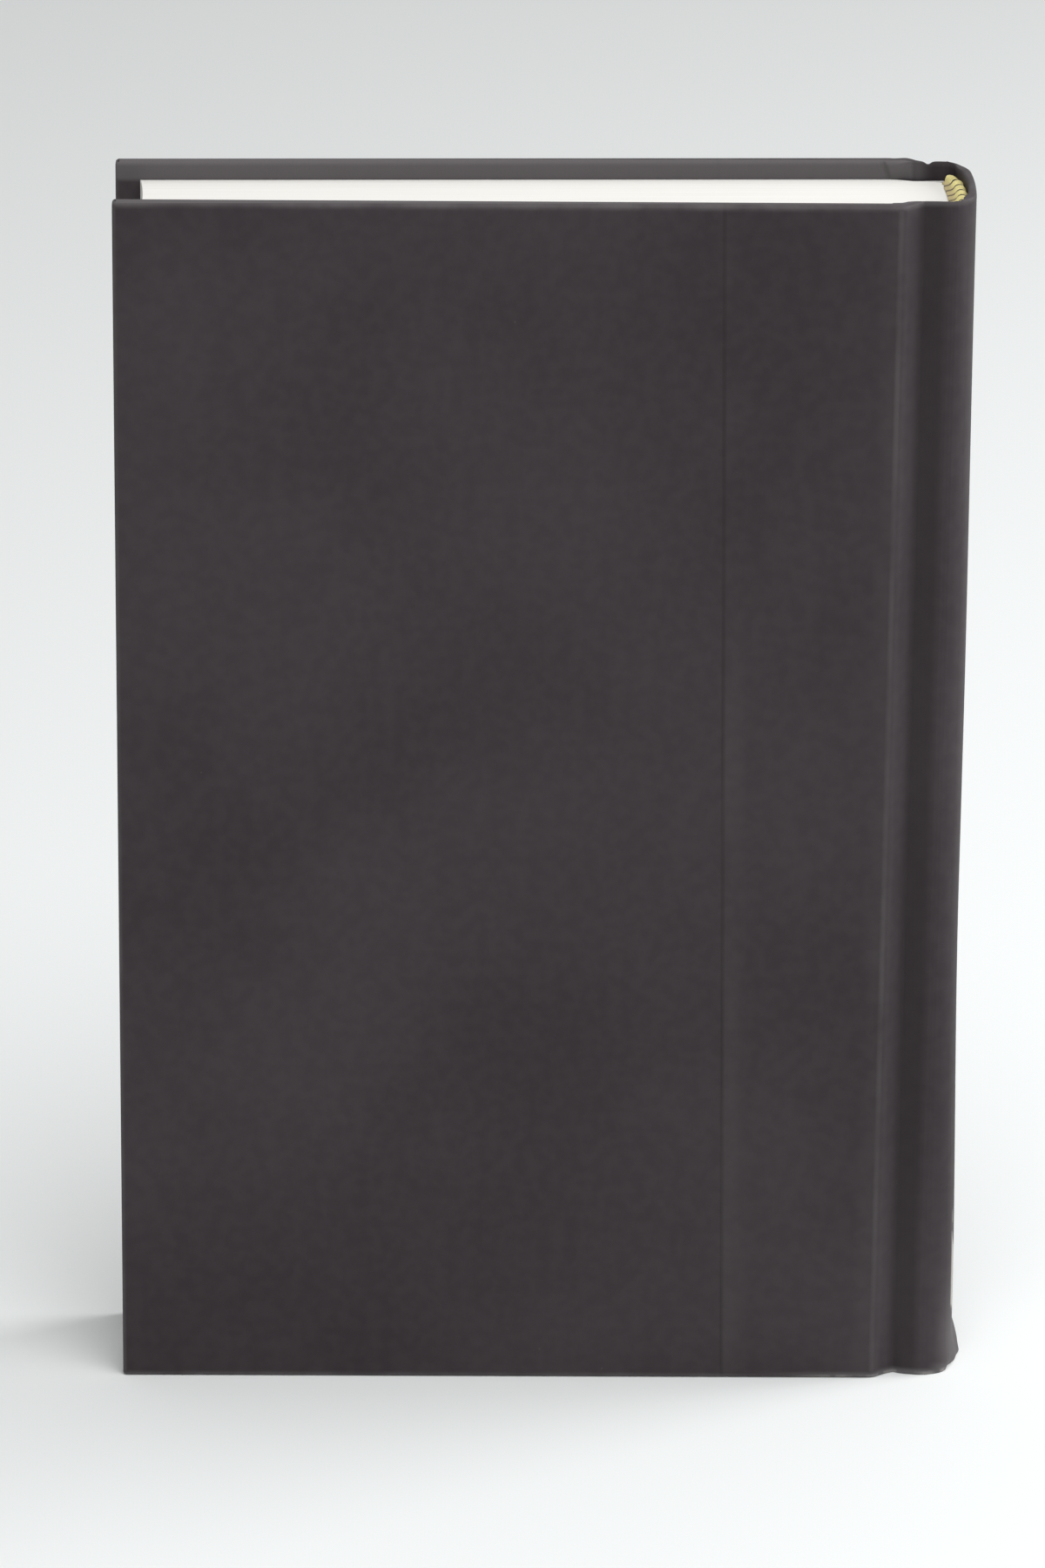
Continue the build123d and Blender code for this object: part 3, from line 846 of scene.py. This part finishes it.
def build_inlay(case):
    """The stiffening strip of the spine, shaped by the same handling as the paper over it."""
    bm = bmesh.new()
    bm.from_mesh(frame["nodes"]["spine_inlay"].data)
    bmesh.ops.remove_doubles(bm, verts=bm.verts[:], dist=0.001 * MM)
    cut_loops(bm, 2, [*steps(0, 10.6 * MM, 0.7 * MM), *steps(10 * MM, COVER_HIGH.z, 6 * MM)])
    cut_loops(bm, 1, steps(-11 * MM, 11 * MM, 0.7 * MM))
    for vert in bm.verts:
        slack = 0.12 * MM * ramp(0, MM, COVER_HIGH.z - vert.co.z)
        vert.co += handling(vert.co, case) - Vector((slack, 0, 0))
    piece = new_object("spine_inlay_strip", mesh_from(bm, "spine_inlay_strip"))
    shade(piece, 40)
    return piece


# ---- Endbands -----------------------------------------------------------------------------------------
def band_half(band):
    """Half of an endband's length along the glued spine, which ends part way round the shoulders."""
    return band.shoulder_half - band.shoulder + band.shoulder * SHOULDER_TURN


def closeness(band, travel):
    """How the band draws in towards the pages at its ends: 1 along the spine, less round the shoulders."""
    flat = band.shoulder_half - band.shoulder
    return 1 - 0.42 * ramp(0.85 * flat, band_half(band), abs(travel))


def spine_point(band, travel):
    """Point and outward direction on the glued spine, travel along it from its middle."""
    flat = band.shoulder_half - band.shoulder
    side = math.copysign(1, travel)
    reach = abs(travel)
    top_x = PAGES_HIGH.x
    if reach <= flat:
        x = top_x - band.swell * (reach / flat) ** 2
        slope = side * 2 * band.swell * reach / flat**2
        return Vector((x, side * reach, 0)), Vector((1, slope, 0)).normalized()
    turn = (reach - flat) / band.shoulder
    away = Vector((math.cos(turn), side * math.sin(turn), 0))
    return Vector((top_x - band.swell - band.shoulder, side * flat, 0)) + away * band.shoulder, away


def thread_route(band, bulge):
    """Route of one thread over the cord, as (distance from the glued spine, height above the pages)."""
    around = band.core + 0.75 * band.thread + bulge
    centre = (band.stand_off, band.rise)
    route = [(-1.25 * MM, 0.12 * MM), (-0.75 * MM, 0.24 * MM), (-0.25 * MM, 0.30 * MM + 0.5 * bulge)]
    for degrees in range(165, -61, -25):
        turn = math.radians(degrees)
        route.append((centre[0] + around * math.cos(turn), centre[1] + around * math.sin(turn)))
    skin = band.tape + 0.6 * band.thread
    route += [(skin + 0.25 * MM, -1.1 * MM), (skin, -2.0 * MM), (skin, -3.4 * MM)]
    return route


def thread_curve(name, band, edge_z, up, materials):
    """All threads of one endband as bevelled splines, light and dark in turn."""
    data = bpy.data.curves.new(name, "CURVE")
    data.dimensions = "3D"
    data.bevel_depth = band.thread
    data.bevel_resolution = 1
    data.resolution_u = 2
    data.use_fill_caps = True
    for material in materials:
        data.materials.append(material)
    half_length = band_half(band)
    group = band.light_threads + band.dark_threads
    count = int(2 * half_length / band.pitch)
    for index in range(count + 1):
        travel = -half_length + index * band.pitch
        step = index % group
        light = step < band.light_threads
        sunk = -0.05
        swell = math.sin(math.pi * (step + 0.5) / band.light_threads) if light else sunk
        route = thread_route(band, band.bulge * swell)
        spline = data.splines.new("NURBS")
        spline.points.add(len(route) - 1)
        for point, (out, height) in zip(spline.points, route):
            slant = 0.35 * band.pitch * (height / MM)
            base, away = spine_point(band, max(min(travel + slant, half_length), -half_length))
            out *= closeness(band, travel)
            point.co = (*(base + away * out + Vector((0, 0, edge_z + up * height))), 1)
        spline.order_u = 3
        spline.use_endpoint_u = True
        spline.material_index = 0 if light else 1
    return data


def build_endband(band, name, edge_z, up, materials):
    """One endband: threads over a cord, and the tape that holds it on the glued spine."""
    half_length, stations = band_half(band), 40
    places = [-half_length + 2 * half_length * index / stations for index in range(stations + 1)]
    curve = thread_curve(name + "_threads", band, edge_z, up, materials)
    holder = bpy.data.objects.new(name + "_threads", curve)
    bpy.context.scene.collection.objects.link(holder)
    graph = bpy.context.evaluated_depsgraph_get()
    threads = new_object(name + "_thread_wraps", bpy.data.meshes.new_from_object(holder.evaluated_get(graph)))
    bpy.data.objects.remove(holder)

    bm = bmesh.new()
    bmesh.ops.create_circle(bm, segments=16, radius=band.core, cap_ends=True)
    cord_line = []
    for travel in places:
        base, away = spine_point(band, travel)
        cord_line.append((base + away * band.stand_off * closeness(band, travel), away))
    follow_line(bm, cord_line, edge_z + up * band.rise)
    core = new_object(name + "_cord", mesh_from(bm, name + "_cord"))

    bm = bmesh.new()
    low, high = sorted((edge_z, edge_z - up * band.tape_height))
    previous = None
    chain = []
    for travel in places:
        base, away = spine_point(band, travel)
        vert = bm.verts.new(base + away * band.tape + Vector((0, 0, low)))
        if previous:
            chain.append(bm.edges.new((previous, vert)))
        previous = vert
    made = bmesh.ops.extrude_edge_only(bm, edges=chain)["geom"]
    lifted = [item for item in made if isinstance(item, bmesh.types.BMVert)]
    bmesh.ops.translate(bm, verts=lifted, vec=(0, 0, high - low))
    cut_loops(bm, 2, steps(low, high, 1.5 * MM))
    tape = new_object(name + "_tape", mesh_from(bm, name + "_tape"))
    face_away(tape, Vector((0, 0, (low + high) / 2)))
    thicken(tape, band.tape * 0.9)
    for piece in (threads, core, tape):
        shade(piece, 60)
    return threads, core, tape


def follow_line(bm, line, z):
    """Carries a closed ring of points along a line in a level plane, and closes both ends."""
    mark = bm.verts.layers.int.new("round")
    rounds = list(bm.verts)
    start = [vert.co.copy() for vert in rounds]

    def frame_at(index):
        point, away = line[index]
        turned = Matrix((away, (0, 0, 1), away.cross((0, 0, 1)))).transposed().to_4x4()
        return Matrix.Translation(point + Vector((0, 0, z))) @ turned

    for vert, flat in zip(rounds, start):
        vert.co = frame_at(0) @ flat
    for index, vert in enumerate(rounds):
        vert[mark] = index
    edges = bm.edges[:]
    for index in range(1, len(line)):
        made = bmesh.ops.extrude_edge_only(bm, edges=edges)["geom"]
        fresh = {item for item in made if isinstance(item, bmesh.types.BMVert)}
        edges = [item for item in made if isinstance(item, bmesh.types.BMEdge) and set(item.verts) <= fresh]
        for vert in fresh:
            vert.co = frame_at(index) @ start[vert[mark]]
    bmesh.ops.contextual_create(bm, geom=edges)
    bmesh.ops.recalc_face_normals(bm, faces=bm.faces[:])


def face_away(piece, centre):
    """Turns a sheet's faces away from a point, so that its thickness goes inwards."""
    mesh = piece.data
    middle = mesh.polygons[len(mesh.polygons) // 2]
    if middle.normal.dot(middle.center - centre) < 0:
        mesh.flip_normals()


# ---- Endpaper folds -----------------------------------------------------------------------------------
def build_endpaper_fold(case, side_name):
    """The fold of the endpaper in the joint, closed between flyleaf and pastedown."""
    side = SIDES[side_name]
    slope = 0.0538
    leaf = 10.80 * MM  # from the middle plane to the flyleaf, at the joint's floor
    start_x, end_x = case.floor_x + 0.4 * MM, HINGE.x - 0.35 * MM
    lay, thickness, gap = 0.04 * MM, 0.03 * MM, 0.05 * MM
    round_steps = 8

    def surface(x, above):
        return Vector((x, -(leaf + slope * (x - case.floor_x) + above), PAGES_LOW.z))

    bm = bmesh.new()
    path = [surface(x, lay) for x in (start_x, *steps(start_x, end_x, 0.5 * MM), end_x)]
    for index in range(1, round_steps):
        turn = math.pi * index / round_steps
        path.append(surface(end_x + gap / 2 * math.sin(turn), lay + gap * (1 - math.cos(turn)) / 2))
    path += [surface(x, lay + gap) for x in (end_x, *reversed(steps(start_x, end_x, 0.5 * MM)), start_x)]
    verts = [bm.verts.new(point) for point in path]
    chain = [bm.edges.new(pair) for pair in zip(verts, verts[1:])]
    made = bmesh.ops.extrude_edge_only(bm, edges=chain)["geom"]
    lifted = [item for item in made if isinstance(item, bmesh.types.BMVert)]
    bmesh.ops.translate(bm, verts=lifted, vec=(0, 0, PAGES_HIGH.z - PAGES_LOW.z))
    cut_loops(bm, 2, steps(PAGES_LOW.z, PAGES_HIGH.z, 12 * MM))
    if side < 0:
        bmesh.ops.scale(bm, vec=(1, -1, 1), verts=bm.verts[:])
    name = f"{side_name}_endpaper_fold"
    piece = new_object(name, mesh_from(bm, name))
    wall = piece.modifiers.new("Thickness", "SOLIDIFY")
    wall.thickness = thickness
    wall.offset = 0
    apply_modifiers(piece)
    shade(piece, 60)
    low = surface(HINGE.x, lay + 0.2 * gap)
    high = low + Vector((-slope, -1, 0)).normalized() * 0.6 * gap
    if side < 0:
        low.y, high.y = -low.y, -high.y
    return piece, low, high


# ---- Operators ----------------------------------------------------------------------------------------
class BOOK_OT_wrap_cover_papers(bpy.types.Operator):
    """Wrap the cover paper round both boards, the joints and the spine"""

    bl_idname = "book.wrap_cover_papers"
    bl_label = "Wrap Cover Papers"

    def execute(self, context):
        case, colours = context.scene.book_case, context.scene.book_colours
        for side_name in SIDES:
            piece = build_cover_paper(case, side_name)
            piece.data.materials.append(cover_material(case, colours, side_name))
            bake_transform(piece)
            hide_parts(f"{side_name}_cover_paper", "spine_cover_paper")
        return {"FINISHED"}


class BOOK_OT_shape_inlay(bpy.types.Operator):
    """Shape the stiffening strip inside the spine"""

    bl_idname = "book.shape_inlay"
    bl_label = "Shape Inlay"

    def execute(self, context):
        case, colours = context.scene.book_case, context.scene.book_colours
        piece = build_inlay(case)
        board = sheet_material("spine strip board", colours.board, 0.8, tooth=0.5, roughness=0.85)
        piece.data.materials.append(board)
        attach(piece, "pages")
        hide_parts("spine_inlay")
        return {"FINISHED"}


class BOOK_OT_weave_endbands(bpy.types.Operator):
    """Wind the striped threads of the headband and the tailband over their cords"""

    bl_idname = "book.weave_endbands"
    bl_label = "Weave Endbands"

    def execute(self, context):
        band, colours = context.scene.book_band, context.scene.book_colours
        # The tint of the threads lying on the pages is partly glue and partly painted shade.
        light = thread_material("light band thread", colours.light_thread, colours.glue_and_shade)
        dark = thread_material("dark band thread", colours.dark_thread, [c * 0.45 for c in colours.glue_and_shade])
        for name, edge_z, up in (("headband", PAGES_HIGH.z, 1), ("tailband", PAGES_LOW.z, -1)):
            threads, core, tape = build_endband(band, name, edge_z, up, (light, dark))
            for piece in (core, tape):
                piece.data.materials.append(light)
            for piece in (threads, core, tape):
                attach(piece, "pages")
                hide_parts(name)
        return {"FINISHED"}


class BOOK_OT_fold_endpapers(bpy.types.Operator):
    """Fold the endpapers across both joints"""

    bl_idname = "book.fold_endpapers"
    bl_label = "Fold Endpapers"

    def execute(self, context):
        case, colours = context.scene.book_case, context.scene.book_colours
        paper = sheet_material("endpaper fold", colours.endpaper, 0.96)
        for side_name in SIDES:
            piece, low, high = build_endpaper_fold(case, side_name)
            piece.data.materials.append(paper)
            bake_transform(piece)
        return {"FINISHED"}


class BOOK_OT_finish_parts(bpy.types.Operator):
    """Give the pages, endpapers, boards, gauze and linings their finishes"""

    bl_idname = "book.finish_parts"
    bl_label = "Finish Parts"

    def execute(self, context):
        colours = context.scene.book_colours
        endpaper = sheet_material("endpaper", colours.endpaper, 0.96)
        board = sheet_material("grey board", colours.board, 0.8, tooth=0.5, roughness=0.85)
        lining = sheet_material("kraft lining", colours.lining, 0.85)
        gauze = gauze_material(colours)
        finishes = {
            "text_block": pages_material(colours),
            "mull": gauze,
            "spine_lining": lining,
        }
        for side_name in SIDES:
            finishes[f"{side_name}_board"] = board
            finishes[f"{side_name}_mull_flap"] = gauze
            finishes[f"{side_name}_pastedown"] = endpaper
            finishes[f"{side_name}_flyleaf"] = endpaper
        for node, material in finishes.items():
            part = frame["nodes"][node]
            part.data.materials.clear()
            part.data.materials.append(material)
        return {"FINISHED"}


def add_area(name, place, aim, size, energy):
    """A round soft lamp at a place, turned to its aim."""
    data = bpy.data.lights.new(name, "AREA")
    data.shape = "DISK"
    data.size = size
    data.energy = energy
    lamp = bpy.data.objects.new(name, data)
    bpy.context.scene.collection.objects.link(lamp)
    lamp.location = place
    lamp.rotation_euler = (Vector(aim) - Vector(place)).to_track_quat("-Z", "Y").to_euler()


def camera_frame(stage):
    """Camera matrix from its place, turn, tilt and roll."""
    turn, tilt, roll = stage.camera_turn, stage.camera_tilt, stage.camera_roll
    level = Vector((math.cos(turn), math.sin(turn), 0))
    ahead = Vector((-math.sin(turn) * math.cos(tilt), math.cos(turn) * math.cos(tilt), -math.sin(tilt)))
    upright = level.cross(ahead)
    right = level * math.cos(roll) + upright * math.sin(roll)
    up = upright * math.cos(roll) - level * math.sin(roll)
    turned = Matrix((right, up, -ahead)).transposed().to_4x4()
    return Matrix.Translation(stage.camera_place) @ turned


class BOOK_OT_set_stage(bpy.types.Operator):
    """Add the floor, the studio light and the camera"""

    bl_idname = "book.set_stage"
    bl_label = "Set Stage"

    def execute(self, context):
        scene, stage = context.scene, context.scene.book_stage
        bm = bmesh.new()
        bmesh.ops.create_circle(bm, cap_ends=True, segments=64, radius=6.0)
        floor = new_object("floor", mesh_from(bm, "floor"))
        material, _, shader = new_material("pale floor", 0.9, 0.1)
        shader.inputs["Base Color"].default_value = (*stage.floor, 1)
        floor.data.materials.append(material)

        world = bpy.data.worlds.new("studio")
        world.use_nodes = True
        scene.world = world
        nodes = Nodes(world.node_tree)
        sky = world.node_tree.nodes["Background"]
        sky.inputs["Color"].default_value = (1, 1, 1, 1)
        sky.inputs["Strength"].default_value = stage.sky
        seen = nodes.add("ShaderNodeBackground")
        seen.inputs["Color"].default_value = (*stage.floor, 1)
        path = nodes.add("ShaderNodeLightPath")
        mixed = nodes.add("ShaderNodeMixShader")
        nodes.feed(mixed.inputs[0], path.outputs["Is Camera Ray"])
        nodes.feed(mixed.inputs[1], sky.outputs[0])
        nodes.feed(mixed.inputs[2], seen.outputs[0])
        nodes.feed(world.node_tree.nodes["World Output"].inputs["Surface"], mixed.outputs[0])

        middle = (0, 0, COVER_HIGH.z / 2)
        add_area("top light", (0.2, -0.45, 1.25), middle, 0.9, stage.top)
        add_area("right light", (1.2, 0.3, 0.65), middle, 0.8, stage.right)
        add_area("front light", (-0.4, -1.4, 1.0), middle, 1.0, stage.front)

        data = bpy.data.cameras.new("camera")
        data.lens = stage.lens
        data.sensor_width = 36
        data.clip_start, data.clip_end = 0.01, 50
        camera = bpy.data.objects.new("camera", data)
        scene.collection.objects.link(camera)
        camera.matrix_world = camera_frame(stage)
        scene.camera = camera
        scene.view_settings.view_transform = "Standard"
        return {"FINISHED"}


class BOOK_PT_panel(bpy.types.Panel):
    """Sizes, colours and pieces of the book"""

    bl_idname = "BOOK_PT_panel"
    bl_label = "Book"
    bl_space_type = "VIEW_3D"
    bl_region_type = "UI"
    bl_category = "Book"

    def draw(self, context):
        scene = context.scene
        for operator in OPERATORS:
            self.layout.operator(operator.bl_idname)
        for group in (scene.book_case, scene.book_band, scene.book_colours, scene.book_stage):
            box = self.layout.box()
            for name in group.__annotations__:
                box.prop(group, name)


SETTINGS = {
    "book_case": BookCaseSizes,
    "book_band": BookBandSizes,
    "book_colours": BookColours,
    "book_stage": BookStage,
}
OPERATORS = (
    BOOK_OT_wrap_cover_papers,
    BOOK_OT_shape_inlay,
    BOOK_OT_weave_endbands,
    BOOK_OT_fold_endpapers,
    BOOK_OT_finish_parts,
    BOOK_OT_set_stage,
)


def register():
    for cls in (*SETTINGS.values(), *OPERATORS, BOOK_PT_panel):
        bpy.utils.register_class(cls)
    for name, group in SETTINGS.items():
        setattr(bpy.types.Scene, name, PointerProperty(type=group))


def unregister():
    for name in SETTINGS:
        delattr(bpy.types.Scene, name)
    for cls in reversed((*SETTINGS.values(), *OPERATORS, BOOK_PT_panel)):
        bpy.utils.unregister_class(cls)


def main():
    register()
    bpy.ops.book.wrap_cover_papers()
    bpy.ops.book.shape_inlay()
    bpy.ops.book.weave_endbands()
    bpy.ops.book.fold_endpapers()
    bpy.ops.book.finish_parts()
    bpy.ops.book.set_stage()


if __name__ == "__main__":
    main()
